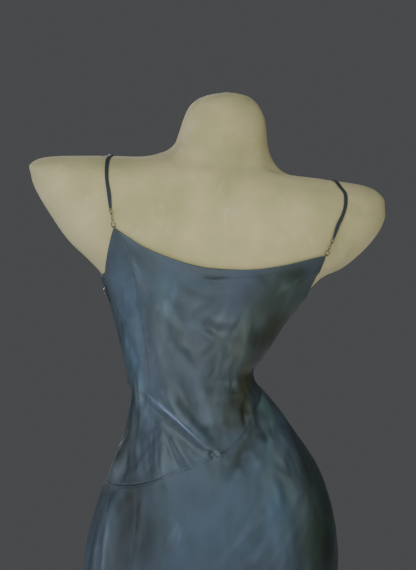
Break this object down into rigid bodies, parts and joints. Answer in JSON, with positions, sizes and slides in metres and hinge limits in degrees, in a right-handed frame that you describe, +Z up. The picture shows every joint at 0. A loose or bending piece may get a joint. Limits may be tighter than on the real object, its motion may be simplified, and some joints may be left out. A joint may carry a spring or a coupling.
{
  "type": "mermaid prom dress on dress form",
  "caption": "Long satin mermaid dress with chain-hung spaghetti straps, low scooped back and flared hem, worn on a headless, limbless dress form with a round stand.",
  "frame": {"origin": "centre of the stand base's underside, on the floor", "axes": "+Z up, front of the dress towards -Y, back towards +Y, +X to the wearer's left"},
  "size_m": [0.9264, 0.8441, 1.489],
  "materials": {
    "satin": "slate blue satin with a soft sheen",
    "form_cover": "matt cream jersey",
    "gold_metal": "pale gold plate",
    "stand_metal": "satin black"
  },
  "bodies": {
    "root": {"bodice_back": "satin", "bodice_back_side": "satin", "bodice_front": "satin", "skirt_back": "satin", "skirt_front": "satin", "strap_left": "satin", "strap_right": "satin", "ring_left": "gold_metal", "ring_right": "gold_metal", "link_left_1": "gold_metal", "link_left_2": "gold_metal", "link_left_3": "gold_metal", "link_right_1": "gold_metal", "link_right_2": "gold_metal", "link_right_3": "gold_metal", "clasp_left": "gold_metal", "clasp_right": "gold_metal", "zip_slider": "gold_metal", "form_torso": "form_cover", "stand_pole": "stand_metal", "stand_base": "stand_metal"},
    "zip_pull": {"zip_pull": "gold_metal"}
  },
  "joints": [
    {"name": "zip_pull_swing", "type": "hinge", "parent": "root", "child": "zip_pull", "pos_m": [0.1618, 0.02466, 1.19113], "axis": [0.2794, -0.96, -0.0204], "range_deg": [0, 150]}
  ]
}
